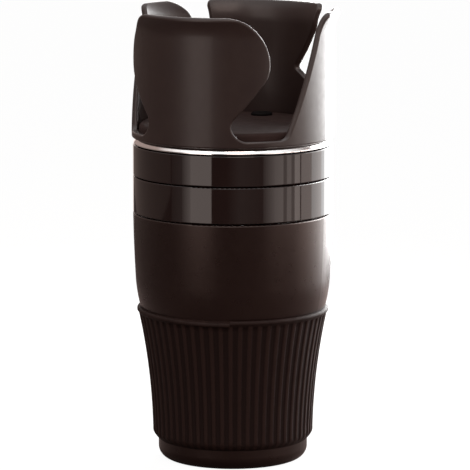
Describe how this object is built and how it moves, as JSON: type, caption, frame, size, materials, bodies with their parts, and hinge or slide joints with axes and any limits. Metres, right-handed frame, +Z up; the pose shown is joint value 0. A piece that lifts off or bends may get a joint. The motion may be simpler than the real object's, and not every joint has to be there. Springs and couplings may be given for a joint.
{
  "type": "car cup holder",
  "caption": "Upright car cup holder with a ribbed grip sleeve, swing-out storage trays and a flared petal cup that turn on one pivot.",
  "frame": {"origin": "centre of the foot's flat underside, on the axis of the cups", "axes": "+Z up along the cups' axis; the front petal faces -Y and the pivot stands towards +Y; +X to the right seen from the front"},
  "size_m": [0.0968, 0.097, 0.207],
  "materials": {
    "body_plastic": "satin moulded dark brown plastic",
    "cup_plastic": "satin moulded dark brown plastic",
    "tray_plastic": "high-gloss dark brown plastic",
    "cap_plastic": "black plastic",
    "chrome_trim": "bright chrome plating",
    "sleeve_rubber": "matt dark brown rubber with fine upright ribs",
    "mat_rubber": "matt reddish brown rubber",
    "steel": "zinc plated steel",
    "brass_insert": "plain brass",
    "nylon": "natural nylon"
  },
  "bodies": {
    "base": {"base_cup": "body_plastic", "base_mat": "mat_rubber", "grip_sleeve": "sleeve_rubber", "pivot_tube": "steel", "pivot_screw": "steel", "head_washer": "steel", "threaded_insert": "brass_insert", "base_spacer": "nylon", "pivot_cap": "cap_plastic"},
    "lower_tray": {"lower_tray": "tray_plastic", "lower_tray_spacer": "nylon"},
    "upper_tray": {"upper_tray": "tray_plastic", "upper_tray_spacer": "nylon"},
    "cup": {"petal_cup": "cup_plastic", "cup_mat": "mat_rubber", "chrome_ring": "chrome_trim", "wave_washer": "steel"}
  },
  "joints": [
    {"name": "lower_tray_swing", "type": "hinge", "parent": "base", "child": "lower_tray", "pos_m": [0, 0.031, 0.1229], "axis": [0, 0, 1], "continuous": true},
    {"name": "upper_tray_swing", "type": "hinge", "parent": "base", "child": "upper_tray", "pos_m": [0, 0.031, 0.13845], "axis": [0, 0, 1], "continuous": true},
    {"name": "cup_swing", "type": "hinge", "parent": "base", "child": "cup", "pos_m": [0, 0.031, 0.1472], "axis": [0, 0, 1], "continuous": true}
  ]
}
